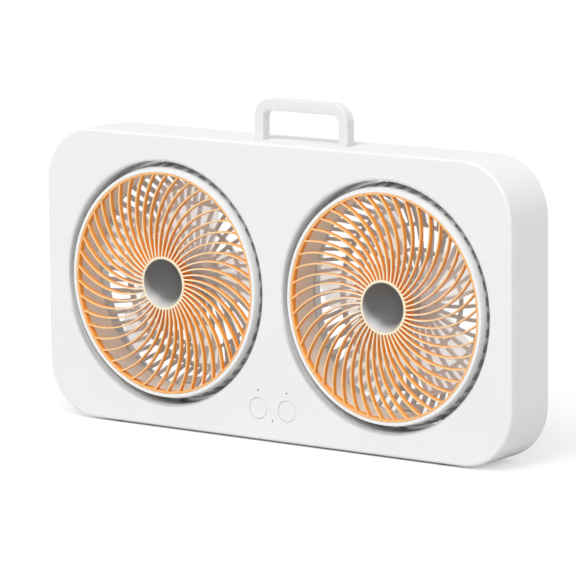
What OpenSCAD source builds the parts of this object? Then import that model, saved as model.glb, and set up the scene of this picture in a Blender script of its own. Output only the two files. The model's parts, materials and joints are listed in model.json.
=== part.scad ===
// Twin-head window fan: a rounded box with two ball-shaped fan heads that swivel in round openings,
// a pull-up carrying handle and two push buttons. Millimetres, +Z up, front towards -Y.
// The origin is on the surface that the feet stand on, under the middle of the body.

/* [Body] */
// Room between the two openings
opening_gap = 26; // [20:1:60]
// Width of the face beside each opening
face_beside = 27; // [20:1:60]
// Height of the face above each opening
face_above = 28; // [24:1:60]
// Height of the face below each opening
face_below = 24; // [22:1:60]
// Depth of the body from front to back
body_d = 68; // [66:1:76]
// Corner radius of the body seen from the front
corner_r = 60; // [50:1:70]
// Rounding of the front edges
front_round = 3; // [3:0.5:7]
// Rounding of the back edges
back_round = 2.5; // [1:0.5:3]
// Thickness of the shell's walls
wall = 3.5; // [3:0.5:4]
// Thickness of the rear cover
cover_t = 3; // [3:0.5:4]
// Height of the feet under the body
foot_h = 2; // [1.5:0.5:4]

/* [Heads] */
// Gap between the ball and the opening that it turns in
ball_gap = 3.5; // [3:0.5:4]
// How far the head's front stands out of the body's front
head_proud = 1; // [0:0.5:4]
// How far the head's back lies behind the body's back
guard_inset = 2; // [1:0.5:3]
// Inner radius of the head's duct
duct_r = 115.5; // [105:0.5:125]
// Distance from the duct's inside to the ball that the head's outside is cut from
ring_t = 11; // [10.5:0.5:14]
// How far behind the head's middle the duct wall ends
duct_back = 2; // [1:0.5:3]
// Number of notches round the head's outside
notch_count = 48; // [36:1:56]
// Width of a notch
notch_w = 9.4; // [3:0.2:11]
// Depth of a notch
notch_depth = 2.6; // [0.6:0.2:3]
// Plain band between the head's front and the notches
notch_start = 7.5; // [4:0.5:12]
// Furthest that a head turns to each side, in degrees
swivel_stop = 30; // [15:1:35]

/* [Front grille] */
// Number of curved ribs
rib_count = 45; // [30:1:48]
// Thickness of a rib
rib_t = 1.9; // [1.6:0.1:2.2]
// Depth of the ribs and the hoop
rib_depth = 7; // [6:0.5:8]
// Radius that a rib curves along
rib_curve_r = 90; // [80:1:110]
// Thickness of the hoop round the ribs
hoop_t = 2.4; // [2:0.1:3]
// Radius of the dished hub cap
hub_r = 26; // [22:0.5:28]
// Thickness of the ring round the hub cap
hub_ring_t = 2.6; // [2:0.1:3]
// Depth of the hub ring
hub_depth = 16; // [14:0.5:18]
// Depth of the hub cap's dish
dish_depth = 12; // [6:0.5:13]

/* [Rear guard] */
// Number of bars near the middle; twice as many run outside
bar_count = 28; // [20:1:30]
// Width of a bar
bar_w = 3.6; // [3:0.1:4]
// Thickness of the guard
guard_t = 3; // [2.5:0.5:3.5]
// Radius of the guard's flat back
guard_flat_r = 97; // [92:1:99]
// Spacing of the guard's rings
guard_ring_step = 26; // [24:0.5:28]
// Radius that a bar curves along
bar_curve_r = 160; // [140:5:220]

/* [Impeller] */
// Number of blades
blade_count = 5; // [3:1:6]
// Length of a blade's chord
blade_chord = 64; // [50:1:66]
// Pitch of the blades in degrees
blade_pitch = 28; // [20:1:30]
// Thickness of a blade
blade_t = 1.8; // [1.5:0.1:2.5]
// Radius of the blade's curve across its chord
blade_camber_r = 90; // [80:5:140]
// Radius of the round outline of a blade
blade_round_r = 44; // [38:1:44]
// Distance from the axis to the middle of a blade
blade_mid_r = 64; // [60:1:65]
// Radius of the impeller's hub
rotor_hub_r = 25; // [24.5:0.5:27]
// Where the impeller stands at rest, in degrees
blade_start = 8; // [0:1:71]

/* [Motor] */
// Radius of the motor case
motor_r = 24; // [23:0.5:26]
// Length of the motor case
motor_len = 20; // [19:0.5:20.5]
// Radius of the motor shaft
shaft_r = 2.5; // [2:0.1:3]
// Outer radius of a bearing
bearing_r = 6.5; // [6:0.1:7]
// Length of a bearing
bearing_len = 4; // [3:0.5:4.5]
// Radial clearance of every shaft and pin that turns in a bore
running_gap = 0.04; // [0.02:0.01:0.08]

/* [Pivots] */
// Radius of a pivot pin
pin_r = 2.5; // [2:0.1:2.6]
// Wall of a pivot bush
bush_wall = 2.1; // [1.8:0.1:2.2]
// Radius of the head's pivot boss
head_boss_r = 9; // [8.5:0.5:10]
// Radius of the swivel frame's pivot boss
frame_boss_r = 10.5; // [10:0.5:11.5]
// Height of the swivel frame's pivot boss above its opening
frame_boss_h = 12; // [10:0.5:12]
// Radius of the stop peg
peg_r = 1.2; // [1:0.1:1.3]
// Distance from the pivot's axis to the stop peg
peg_offset = 7.2; // [7:0.1:7.5]

/* [Handle] */
// Width of the handle
handle_w = 119.5; // [112:0.5:124]
// Height of the handle above the body when it is pulled up
handle_rise = 43.5; // [41:0.5:60]
// Depth of the handle's bar
handle_d = 12.5; // [10:0.5:16]
// Thickness of the grip
grip_t = 12; // [7:0.5:13]
// Width of a leg
leg_w = 11; // [9:0.5:12]
// Outer corner radius of the handle
handle_corner_r = 20; // [15:0.5:24]
// Sideways offset of the handle from the middle of the body
handle_x = 22.2; // [0:0.2:26]
// Offset of the handle towards the front
handle_y = -4.4; // [-8:0.2:4]

/* [Controls] */
// Radius of a button
button_r = 11; // [9:0.5:12]
// Distance from the middle to each button
button_x = 18.6; // [17:0.1:22]
// Height of the buttons above the body's lower edge
button_rise = 33.2; // [31:0.2:36]
// Gap round a button
button_gap = 0.4; // [0.3:0.05:0.5]
// How far a button is pushed in
button_travel = 1; // [0.5:0.1:1.2]
// Radius of an indicator pinhole
pinhole_r = 0.9; // [0.5:0.1:1.2]
// Distance of the outer pinholes above the buttons
pinhole_up = 19.2; // [17:0.1:21]
// Distance of the middle pinhole below the buttons
pinhole_down = 12; // [10:0.1:13]

/* [Hidden] */
$fn = 96;

WHITE = "whitesmoke";
ORANGE = "sandybrown";
HUB_GREY = "dimgray";
FROSTED = "gainsboro";
STEEL = "silver";
BOARD_GREEN = "seagreen";
BLACK = "#222222";

// Small distance by which a cutting shape runs past the face that it cuts
eps = 1;
// Clearance between fixed pieces that slide together when the fan is put together
fit_gap = 0.15;
// Clearance round a bush that is pushed into its hole
press_gap = 0.05;
// Clearance between moving pieces that aren't a shaft in a bore
free_gap = 0.3;

// Body, derived
ball_r = duct_r + ring_t;
bore_r = ball_r + ball_gap;
tube_t = 3;
tube_r = bore_r + tube_t;
mouth_round = 3;
seat_rim_t = 2;
seat_rim_h = 4;
seat_rim_r = tube_r + fit_gap + seat_rim_t;
frame_key_w = 8;
head_x = bore_r + opening_gap / 2;
body_w = 2 * (head_x + bore_r + face_beside);
body_h = 2 * bore_r + face_above + face_below;
front_y = -body_d / 2;
back_y = body_d / 2;
body_mid_z = foot_h + body_h / 2;
body_top_z = foot_h + body_h;
floor_in_z = foot_h + wall;
top_in_z = body_top_z - wall;
wall_in_y = front_y + wall;
cover_recess = 0.3;
cover_y = back_y - cover_recess - cover_t;
head_z = foot_h + face_below + bore_r;

// Screws: the same small screw is used with its own head and length at each place
screw_r = 1.5;
screw_head_r = 3;
screw_head_t = 1.6;
screw_len = 12;
board_screw_len = 5;
screw_end_gap = 1;
small_screw_r = 1.1;
small_head_r = 2.2;
cover_boss_r = 4.5;
cover_boss_inset = 38;
cover_boss_rise = 90;

// Head, derived, in the head's own frame: Z along the fan's axis towards the front, Y up
front_z = body_d / 2 + head_proud;
back_z = body_d / 2 - guard_inset;
seat_z = front_z - rib_depth;
skin_t = 2.5;
duct_t = 2.5;
seat_floor_t = 3;
hoop_gap = 0.1;
hoop_r = duct_r + hoop_gap + hoop_t;
hub_back_z = front_z - hub_depth;
hub_plate_t = 1.4;
cap_inset = 0.3;
dish_rim = 1;
ring_back_z = -duct_back;

// A rib's centre line is an arc that starts almost square to the hub
rib_lean = 1;
rib_curve_offset = rib_curve_r + rib_lean;
rib_turn = -66.4;

// Guard, derived
guard_back_z = -back_z;
guard_inner_z = guard_back_z + guard_t;
rim_t = 3;
rim_inset = 2.5;
rim_r = ball_r - rim_inset;
cone_t = 3.7;
notch_frame = 4;
double_ring_r = 3 * guard_ring_step;
guard_screw_at = [45, 135, 225, 315];
guard_post_r = 3;
guard_screw_r = 1.25;
guard_screw_head_r = 2.3;
guard_post_at = (duct_r + duct_t + ball_r - notch_depth - skin_t) / 2;
guard_screw_len = 8;

// Motor, derived
motor_front_z = guard_inner_z + motor_len;
motor_wall = 3;
motor_screw_at = [30, 150, 270];
motor_post_r = 2.6;
motor_post_inset = 2;
motor_post_at = motor_r - motor_wall - motor_post_inset;
motor_post_len = 12;
motor_screw_r = 1.25;
bearing_wall = 2.5;
bearing_boss_r = bearing_r + bearing_wall;
bearing_lip = 1.5;
bearing_rest = 0.2;
shaft_room = 1;
stator_r = motor_post_at - motor_post_r;
core_r = stator_r / 2;
air_gap = 0.5;
core_from = guard_inner_z + bearing_len + 2 * shaft_room;
core_to = motor_front_z - bearing_lip - bearing_len - shaft_room;

// Impeller, derived
rotor_gap = 1;
rotor_back_z = motor_front_z + rotor_gap;
rotor_nose_h = 4;
nose_gap = 2;
rotor_shoulder_z = hub_back_z - nose_gap - rotor_nose_h;
rotor_wall = 2.5;
shaft_cover = 4;
shaft_front_z = rotor_shoulder_z - shaft_cover;
rotor_boss_r = 6;
blade_z = -1;

// Pivots, derived; distances from the head's axis
bush_r = pin_r + running_gap + bush_wall;
boss_inset = 1.5;
boss_top = ball_r - boss_inset;
pin_foot = duct_r + duct_t;
frame_boss_top = bore_r + frame_boss_h;
bush_flange_t = 1.5;
bush_flange_r = bush_r + bush_wall;
pin_head_t = 2.5;
pin_head_r = bush_r;
peg_reach = 2.4;
slot_gap = 0.4;
peg_tip = bore_r + peg_reach;
slot_floor = peg_tip + slot_gap;
slot_turn = swivel_stop + asin((peg_r + slot_gap) / peg_offset);

// Handle, derived
handle_inner_r = handle_corner_r - (leg_w + grip_t) / 2;
leg_x = (handle_w - leg_w) / 2;
stop_t = 3;
stop_out = 1.5;
guide_t = 1.6;
leg_end = 1.2;
leg_below = wall + free_gap + stop_t + leg_end;
guide_half = leg_w / 2 + stop_out + free_gap + guide_t;
// The legs push down as far as the opening's tube under the nearer leg lets them
leg_to_head = head_x - handle_x - leg_x - guide_half;
leg_room = body_top_z - head_z - sqrt(pow(tube_r, 2) - pow(leg_to_head, 2));
guide_end_gap = 1;
guide_len = leg_room - wall - guide_end_gap;

// Controls, derived
button_z = foot_h + button_rise;
button_flange_t = 1.5;
button_flange_out = 1.5;
button_stem_r = 4;
board_t = 1.6;
board_gap = 8.5;
board_y = wall_in_y + board_gap;
board_w = 84;
board_h = 46;
board_z = button_z;
board_post_r = 3;
board_post_inset = 4.5;
board_post_x = board_w / 2 - board_post_inset;
board_post_z = board_h / 2 - board_post_inset;
switch_h = 2.4;
switch_side = 6;
press_left = 0.2;
lamp_r = 1.5;
lamp_gap = 0.5;
inlet_rise = 26;
inlet_z = foot_h + inlet_rise;
inlet_barrel_r = 5.3;
inlet_bore_r = 2.75;
inlet_pin_r = 1.05;
inlet_pin_inset = 1;
inlet_w = 14;
inlet_h = 12;
inlet_d = 13;
inlet_bore_len = 9;

// Feet
foot_inset_x = 90;
foot_inset_y = 14;
foot_x = body_w / 2 - foot_inset_x;
foot_y = body_d / 2 - foot_inset_y;
foot_r = 7;
foot_stem_r = 3.4;
foot_cap_r = 4.2;
foot_cap_t = 1.5;

// ---------- helpers ----------

// A rectangle with round corners, centred
module round_rect(w, h, r) {
    square([w - 2 * r, h], center = true);
    square([w, h - 2 * r], center = true);
    for (sx = [-1, 1])
        for (sy = [-1, 1])
            translate([sx * (w / 2 - r), sy * (h / 2 - r)])
                circle(r);
}

// The body's outline drawn in by inset, from y0 back to y1
module slab(inset, y0, y1) {
    translate([0, y1, body_mid_z])
        rotate([90, 0, 0])
            linear_extrude(y1 - y0)
                round_rect(body_w - 2 * inset, body_h - 2 * inset, corner_r - inset);
}

// The section through the body's edge: x outwards, y from the front to the back
module edge_section(reach) {
    translate([0, front_y + front_round])
        square([reach, body_d - front_round - back_round]);
    translate([0, front_y])
        square([reach - front_round, body_d]);
    translate([reach - front_round, front_y + front_round])
        circle(front_round);
    translate([reach - front_round - eps, back_y - 2 * back_round])
        square([front_round + eps - back_round, 2 * back_round]);
    translate([reach - back_round, back_y - back_round])
        circle(back_round);
}

// One end of the body with its two corners, for the right side
module body_end() {
    translate([0, 0, foot_h + corner_r])
        linear_extrude(body_h - 2 * corner_r)
            edge_section(body_w / 2);
    for (sz = [0, 1])
        translate([0, 0, body_mid_z])
            mirror([0, 0, sz])
                translate([body_w / 2 - corner_r, 0, body_h / 2 - corner_r])
                    rotate([90, 0, 0])
                        rotate_extrude(angle = 90)
                            mirror([0, 1])
                                edge_section(corner_r);
}

// The straight part of the upper and lower edge
module body_bar() {
    translate([corner_r - body_w / 2, 0, body_mid_z + body_h / 2 - corner_r])
        rotate([90, 0, 90])
            linear_extrude(body_w - 2 * corner_r)
                mirror([1, -1])
                    edge_section(corner_r);
}

// A cylinder along Y from y0 back to y1
module rod_y(x, z, r, y0, y1) {
    translate([x, y1, z])
        rotate([90, 0, 0])
            cylinder(r = r, h = y1 - y0);
}

// A box from its lowest to its highest corner
module box_between(low, high) {
    translate(low)
        cube([high[0] - low[0], high[1] - low[1], high[2] - low[2]]);
}

// Puts a shape drawn in the head's own frame in the left opening
module on_left() {
    translate([-head_x, 0, head_z])
        rotate([90, 0, 0])
            children();
}

// The right head is the left one's mirror image
module on_right() {
    mirror([1, 0, 0])
        on_left()
            children();
}

// A cylinder along the fan's axis between two stations of the head
module drum(r, z0, z1) {
    translate([0, 0, z0])
        cylinder(r = r, h = z1 - z0);
}

// A cylinder along the pivot's axis; side is 1 for the upper pivot and -1 for the lower one
module pivot_rod(side, r, from, to) {
    translate([0, side > 0 ? from : -to, 0])
        rotate([-90, 0, 0])
            cylinder(r = r, h = to - from);
}

// ---------- body ----------

function corner_bosses() = [
    for (sx = [-1, 1])
        for (sz = [-1, 1])
            [sx * (body_w / 2 - cover_boss_inset), body_mid_z + sz * (body_h / 2 - cover_boss_inset)]
];
function cover_bosses() = concat(
    corner_bosses(), [[0, head_z + cover_boss_rise], [0, head_z - cover_boss_rise]]);

module body_solid() {
    for (sx = [0, 1])
        mirror([sx, 0, 0])
            body_end();
    body_bar();
    translate([0, 0, 2 * body_mid_z])
        mirror([0, 0, 1])
            body_bar();
}

module tube(r, y0, y1) {
    for (sx = [-1, 1])
        rod_y(sx * head_x, head_z, r, y0, y1);
}

// The flared mouth of an opening
module mouth_flare() {
    for (sx = [-1, 1])
        translate([sx * head_x, front_y, head_z])
            rotate([-90, 0, 0])
                rotate_extrude()
                    difference() {
                        square([bore_r + mouth_round, mouth_round]);
                        translate([bore_r + mouth_round, mouth_round])
                            circle(mouth_round);
                    }
}

// Key on a swivel frame's outer side that keeps it from turning in its seat
module frame_key(sx, gap) {
    from = head_x + tube_r - eps;
    to = head_x + seat_rim_r + (gap > 0 ? eps : 0);
    half_w = frame_key_w / 2 + gap;
    box_between([sx > 0 ? from : -to, wall_in_y, head_z - half_w],
                [sx > 0 ? to : -from, wall_in_y + seat_rim_h + gap, head_z + half_w]);
}

// Rim behind the face that centres a swivel frame, open where the frame's key stands
module frame_seat(sx) {
    difference() {
        rod_y(sx * head_x, head_z, seat_rim_r, wall_in_y - wall / 2, wall_in_y + seat_rim_h);
        rod_y(sx * head_x, head_z, tube_r + fit_gap, wall_in_y, wall_in_y + seat_rim_h + eps);
        frame_key(sx, fit_gap);
    }
}

module front_shell() {
    color(WHITE)
        difference() {
            union() {
                difference() {
                    body_solid();
                    slab(wall, wall_in_y, back_y + eps);
                }
                for (sx = [-1, 1])
                    frame_seat(sx);
                for (p = cover_bosses())
                    rod_y(p[0], p[1], cover_boss_r, wall_in_y - wall / 2, cover_y);
                for (sx = [-1, 1])
                    for (sz = [-1, 1])
                        rod_y(sx * board_post_x, board_z + sz * board_post_z, board_post_r,
                              wall_in_y - wall / 2, board_y);
            }
            tube(bore_r, front_y - eps, wall_in_y + eps);
            mouth_flare();
            for (p = cover_bosses())
                rod_y(p[0], p[1], screw_r, cover_y - screw_len, cover_y + eps);
            for (sx = [-1, 1])
                for (sz = [-1, 1])
                    rod_y(sx * board_post_x, board_z + sz * board_post_z, small_screw_r,
                          board_y - board_screw_len - screw_end_gap, board_y + eps);
            for (sx = [-1, 1]) {
                rod_y(sx * button_x, button_z, button_r + button_gap, front_y - eps, wall_in_y + eps);
                rod_y(sx * button_x, button_z + pinhole_up, pinhole_r, front_y - eps, wall_in_y + eps);
                leg_hole(sx);
            }
            rod_y(0, button_z - pinhole_down, pinhole_r, front_y - eps, wall_in_y + eps);
            for (sx = [-1, 1])
                for (sy = [-1, 1])
                    translate([sx * foot_x, sy * foot_y, foot_h - eps])
                        cylinder(r = foot_stem_r + fit_gap, h = wall + 2 * eps);
        }
}

// Curved slot in the lower pivot boss that the head's stop peg runs in
module stop_slot() {
    translate([0, 0, -slot_floor])
        rotate([0, 0, -90 - slot_turn])
            rotate_extrude(angle = 2 * slot_turn)
                translate([peg_offset - peg_r - slot_gap, 0])
                    square([2 * (peg_r + slot_gap), slot_floor - bore_r + 3 * eps]);
}

// The tube that a head swivels in, held between the face and the rear cover, with the pivots' bosses
module swivel_frame(sx) {
    color(WHITE)
        difference() {
            union() {
                rod_y(sx * head_x, head_z, tube_r, wall_in_y, cover_y);
                frame_key(sx, 0);
                for (sz = [-1, 1])
                    translate([sx * head_x, 0, head_z + sz * (sz > 0 ? bore_r : frame_boss_top)])
                        cylinder(r = frame_boss_r, h = frame_boss_h);
            }
            rod_y(sx * head_x, head_z, bore_r, wall_in_y - eps, cover_y + eps);
            translate([sx * head_x, 0, head_z]) {
                stop_slot();
                for (z = [bore_r - 2 * eps, -frame_boss_top - eps])
                    translate([0, 0, z])
                        cylinder(r = bush_r + press_gap, h = frame_boss_h + 3 * eps);
            }
        }
}

module left_swivel_frame() { swivel_frame(-1); }
module right_swivel_frame() { swivel_frame(1); }

module leg_hole(sx) {
    translate([handle_x + sx * leg_x, handle_y, body_top_z - wall / 2])
        cube([leg_w + 2 * free_gap, handle_d + 2 * free_gap, wall + 2 * eps], center = true);
}

module rear_cover() {
    color(WHITE)
        difference() {
            slab(wall + fit_gap, cover_y, cover_y + cover_t);
            tube(bore_r, cover_y - eps, back_y + eps);
            for (p = cover_bosses()) {
                rod_y(p[0], p[1], screw_r + fit_gap, cover_y - eps, back_y + eps);
                rod_y(p[0], p[1], screw_head_r + free_gap,
                      cover_y + cover_t - screw_head_t - fit_gap, back_y + eps);
            }
            rod_y(0, inlet_z, inlet_barrel_r + fit_gap, cover_y - eps, back_y + eps);
        }
}

module cover_screws() {
    color(STEEL)
        for (p = cover_bosses()) {
            head_y = cover_y + cover_t - screw_head_t - fit_gap;
            rod_y(p[0], p[1], screw_head_r, head_y, head_y + screw_head_t);
            rod_y(p[0], p[1], screw_r, cover_y - screw_len + screw_end_gap, head_y);
        }
}

module foot(sx, sy) {
    color(BLACK)
        translate([sx * foot_x, sy * foot_y, 0]) {
            cylinder(r = foot_r, h = foot_h);
            cylinder(r = foot_stem_r, h = floor_in_z + foot_cap_t);
            translate([0, 0, floor_in_z])
                cylinder(r = foot_cap_r, h = foot_cap_t);
        }
}

module foot_front_left() { foot(-1, -1); }
module foot_front_right() { foot(1, -1); }
module foot_rear_left() { foot(-1, 1); }
module foot_rear_right() { foot(1, 1); }

// ---------- handle ----------

// An arch outline: straight legs from bottom up to a top with round corners of radius r
module arch(w, bottom, top, r) {
    translate([-w / 2, bottom])
        square([w, top - r - bottom]);
    translate([r - w / 2, bottom])
        square([w - 2 * r, top - bottom]);
    for (sx = [-1, 1])
        translate([sx * (w / 2 - r), top - r])
            circle(r);
}

module handle() {
    color(WHITE)
        translate([handle_x, handle_y, body_top_z]) {
            translate([0, handle_d / 2, 0])
                rotate([90, 0, 0])
                    linear_extrude(handle_d)
                        difference() {
                            arch(handle_w, -leg_below, handle_rise, handle_corner_r);
                            arch(handle_w - 2 * leg_w, -leg_below - eps, handle_rise - grip_t,
                                 handle_inner_r);
                        }
            for (sx = [-1, 1])
                translate([sx * leg_x, 0, -wall - free_gap - stop_t / 2])
                    cube([leg_w + 2 * stop_out, handle_d + 2 * stop_out, stop_t], center = true);
        }
}

module handle_guide(sx) {
    in_w = leg_w + 2 * (stop_out + free_gap);
    in_d = handle_d + 2 * (stop_out + free_gap);
    color(FROSTED)
        translate([handle_x + sx * leg_x, handle_y, top_in_z - guide_len / 2])
            difference() {
                cube([in_w + 2 * guide_t, in_d + 2 * guide_t, guide_len], center = true);
                cube([in_w, in_d, guide_len + 2 * eps], center = true);
            }
}

module left_handle_guide() { handle_guide(-1); }
module right_handle_guide() { handle_guide(1); }

// ---------- controls ----------

module button(sx) {
    flange_y = wall_in_y + free_gap;
    color(WHITE) {
        rod_y(sx * button_x, button_z, button_r, front_y, flange_y + button_flange_t);
        rod_y(sx * button_x, button_z, button_r + button_gap + button_flange_out,
              flange_y, flange_y + button_flange_t);
        rod_y(sx * button_x, button_z, button_stem_r, flange_y,
              board_y - switch_h - button_travel - press_left);
    }
}

module left_button() { button(-1); }
module right_button() { button(1); }

module switch(sx) {
    color(BLACK)
        box_between([sx * button_x - switch_side / 2, board_y - switch_h, button_z - switch_side / 2],
                    [sx * button_x + switch_side / 2, board_y, button_z + switch_side / 2]);
}

module left_switch() { switch(-1); }
module right_switch() { switch(1); }

module indicator(x, z) {
    color(FROSTED)
        rod_y(x, z, lamp_r, wall_in_y + lamp_gap, board_y);
}

module left_indicator() { indicator(-button_x, button_z + pinhole_up); }
module middle_indicator() { indicator(0, button_z - pinhole_down); }
module right_indicator() { indicator(button_x, button_z + pinhole_up); }

module control_board() {
    color(BOARD_GREEN)
        difference() {
            box_between([-board_w / 2, board_y, board_z - board_h / 2],
                        [board_w / 2, board_y + board_t, board_z + board_h / 2]);
            for (sx = [-1, 1])
                for (sz = [-1, 1])
                    rod_y(sx * board_post_x, board_z + sz * board_post_z, small_screw_r + fit_gap,
                          board_y - eps, board_y + board_t + eps);
        }
}

module board_screws() {
    color(STEEL)
        for (sx = [-1, 1])
            for (sz = [-1, 1]) {
                x = sx * board_post_x;
                z = board_z + sz * board_post_z;
                rod_y(x, z, small_screw_r, board_y - board_screw_len, board_y + board_t);
                rod_y(x, z, small_head_r, board_y + board_t, board_y + board_t + screw_head_t);
            }
}

module power_inlet() {
    color(BLACK) {
        difference() {
            union() {
                box_between([-inlet_w / 2, cover_y - inlet_d, inlet_z - inlet_h / 2],
                            [inlet_w / 2, cover_y, inlet_z + inlet_h / 2]);
                rod_y(0, inlet_z, inlet_barrel_r, cover_y, cover_y + cover_t);
            }
            rod_y(0, inlet_z, inlet_bore_r, cover_y + cover_t - inlet_bore_len, back_y + eps);
        }
        rod_y(0, inlet_z, inlet_pin_r, cover_y + cover_t - inlet_bore_len - eps,
              cover_y + cover_t - inlet_pin_inset);
    }
}

// ---------- head: ring, grille and cap ----------

module pivot_boss(side) {
    pivot_rod(side, head_boss_r, duct_r - 2 * eps, boss_top);
}

module guard_posts() {
    for (a = guard_screw_at)
        rotate([0, 0, a])
            translate([guard_post_at, 0, ring_back_z])
                cylinder(r = guard_post_r, h = seat_z - ring_back_z);
}

// The hollow between the duct and the outer skin
module ring_hollow() {
    difference() {
        intersection() {
            sphere(ball_r - notch_depth - skin_t);
            drum(ball_r, ring_back_z - eps, seat_z - seat_floor_t);
        }
        drum(duct_r + duct_t, ring_back_z - 2 * eps, seat_z);
        guard_posts();
        pivot_boss(1);
        pivot_boss(-1);
    }
}

module notches() {
    difference() {
        translate([0, 0, ring_back_z - eps])
            linear_extrude(front_z - notch_start - ring_back_z + eps)
                for (i = [0 : notch_count - 1])
                    rotate(i * 360 / notch_count)
                        translate([duct_r + duct_t, -notch_w / 2])
                            square([ball_r + eps - duct_r - duct_t, notch_w]);
        sphere(ball_r - notch_depth);
    }
}

module head_ring() {
    color(WHITE)
        difference() {
            union() {
                difference() {
                    intersection() {
                        sphere(ball_r);
                        drum(ball_r + eps, ring_back_z, front_z);
                    }
                    ring_hollow();
                    notches();
                }
                pivot_boss(1);
                pivot_boss(-1);
                translate([0, 0, peg_offset])
                    pivot_rod(-1, peg_r, boss_top - 2 * eps, peg_tip);
            }
            drum(duct_r, ring_back_z - eps, front_z + eps);
            drum(hoop_r + fit_gap, seat_z, front_z + eps);
            for (side = [-1, 1]) {
                pivot_rod(side, pin_r, pin_foot, boss_top + eps);
                pivot_rod(side, bush_r + free_gap, boss_top, ball_r + eps);
            }
            for (a = guard_screw_at)
                rotate([0, 0, a])
                    translate([guard_post_at, 0, ring_back_z - eps])
                        cylinder(r = guard_screw_r, h = guard_screw_len + eps);
        }
}

// The centre lines' arcs bend clockwise going outwards, seen from the front
module swirl(count, r_curve, offset, turn, width, from, to) {
    intersection() {
        difference() {
            circle(to);
            circle(from);
        }
        for (i = [0 : count - 1])
            rotate(i * 360 / count + turn)
                intersection() {
                    square(2 * to);
                    translate([offset, 0])
                        difference() {
                            circle(r_curve + width / 2);
                            circle(r_curve - width / 2);
                        }
                }
    }
}

module front_grille() {
    color(ORANGE) {
        translate([0, 0, seat_z])
            linear_extrude(rib_depth) {
                swirl(rib_count, rib_curve_r, rib_curve_offset, rib_turn, rib_t,
                      hub_r + hub_ring_t / 2, hoop_r - hoop_t / 2);
                difference() {
                    circle(hoop_r);
                    circle(hoop_r - hoop_t);
                }
            }
        difference() {
            drum(hub_r + hub_ring_t, hub_back_z, front_z);
            drum(hub_r, hub_back_z + hub_plate_t, front_z + eps);
        }
    }
}

module hub_cap() {
    cap_front = front_z - cap_inset;
    dish_r = (pow(hub_r - dish_rim, 2) + pow(dish_depth, 2)) / (2 * dish_depth);
    color(HUB_GREY)
        difference() {
            drum(hub_r - fit_gap, hub_back_z + hub_plate_t, cap_front);
            translate([0, 0, cap_front + dish_r - dish_depth])
                sphere(dish_r);
        }
}

// ---------- head: rear guard ----------

module guard_pattern() {
    for (side = [-1, 1])
        translate([0, side * (duct_r - notch_frame / 2)])
            square([2 * (head_boss_r + notch_frame), 3 * notch_frame], center = true);
    swirl(bar_count, bar_curve_r, bar_curve_r, -90, bar_w, guard_ring_step - bar_w, double_ring_r);
    swirl(2 * bar_count, bar_curve_r, bar_curve_r, -90, bar_w, double_ring_r - bar_w / 2, rim_r);
    circle(guard_ring_step);
    for (r = [2 * guard_ring_step, double_ring_r, guard_flat_r])
        difference() {
            circle(r + bar_w / 2);
            circle(r - bar_w / 2);
        }
}

// The guard's cross-section: a flat back, then a cone out to the rim
module guard_section() {
    polygon([
        [0, guard_back_z],
        [guard_flat_r + cone_t / 2, guard_back_z],
        [duct_r + cone_t, ring_back_z],
        [duct_r, ring_back_z],
        [guard_flat_r, guard_inner_z],
        [0, guard_inner_z],
    ]);
}

module rear_guard() {
    color(WHITE)
        difference() {
            union() {
                intersection() {
                    rotate_extrude()
                        guard_section();
                    translate([0, 0, guard_back_z - eps])
                        linear_extrude(back_z)
                            guard_pattern();
                }
                difference() {
                    drum(rim_r, ring_back_z - rim_t, ring_back_z);
                    drum(duct_r, ring_back_z - rim_t - eps, ring_back_z + eps);
                }
                drum(bearing_boss_r, guard_inner_z - eps, guard_inner_z + bearing_len + bearing_rest);
            }
            drum(bearing_r, guard_inner_z, guard_inner_z + bearing_len + bearing_rest + eps);
            for (side = [-1, 1])
                pivot_rod(side, head_boss_r + free_gap, duct_r - 3 * eps, ball_r + eps);
            for (a = guard_screw_at)
                rotate([0, 0, a])
                    translate([guard_post_at, 0, ring_back_z - rim_t]) {
                        translate([0, 0, -eps])
                            cylinder(r = guard_screw_r + fit_gap, h = rim_t + 2 * eps);
                        translate([0, 0, -screw_head_t - eps])
                            cylinder(r = guard_screw_head_r + fit_gap, h = screw_head_t + eps);
                    }
            for (a = motor_screw_at)
                rotate([0, 0, a])
                    translate([motor_post_at, 0, guard_back_z - eps]) {
                        cylinder(r = motor_screw_r + fit_gap, h = guard_t + 2 * eps);
                        cylinder(r = guard_screw_head_r + fit_gap, h = screw_head_t + eps);
                    }
        }
}

module guard_screws() {
    color(STEEL)
        for (a = guard_screw_at)
            rotate([0, 0, a])
                translate([guard_post_at, 0, ring_back_z - rim_t]) {
                    cylinder(r = guard_screw_r, h = rim_t + guard_screw_len - screw_end_gap);
                    translate([0, 0, -screw_head_t])
                        cylinder(r = guard_screw_head_r, h = screw_head_t);
                }
}

// ---------- head: motor ----------

module motor_posts(r, z0, z1) {
    for (a = motor_screw_at)
        rotate([0, 0, a])
            translate([motor_post_at, 0, z0])
                cylinder(r = r, h = z1 - z0);
}

module motor_case() {
    inner_top = motor_front_z - motor_wall;
    seat = motor_front_z - bearing_lip - bearing_len;
    color(STEEL)
        difference() {
            drum(motor_r, guard_inner_z, motor_front_z);
            difference() {
                drum(motor_r - motor_wall, guard_inner_z - eps, inner_top);
                motor_posts(motor_post_r, guard_inner_z - 2 * eps, inner_top + eps);
                drum(bearing_boss_r, seat, motor_front_z);
            }
            drum(bearing_r, seat - eps, seat + bearing_len);
            drum(shaft_r + shaft_room, seat + eps, motor_front_z + eps);
            motor_posts(motor_screw_r, guard_inner_z - eps, guard_inner_z + motor_post_len);
        }
}

module motor_screws() {
    color(STEEL) {
        motor_posts(motor_screw_r, guard_back_z + screw_head_t,
                    guard_inner_z + motor_post_len - screw_end_gap);
        motor_posts(guard_screw_head_r, guard_back_z, guard_back_z + screw_head_t);
    }
}

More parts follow.
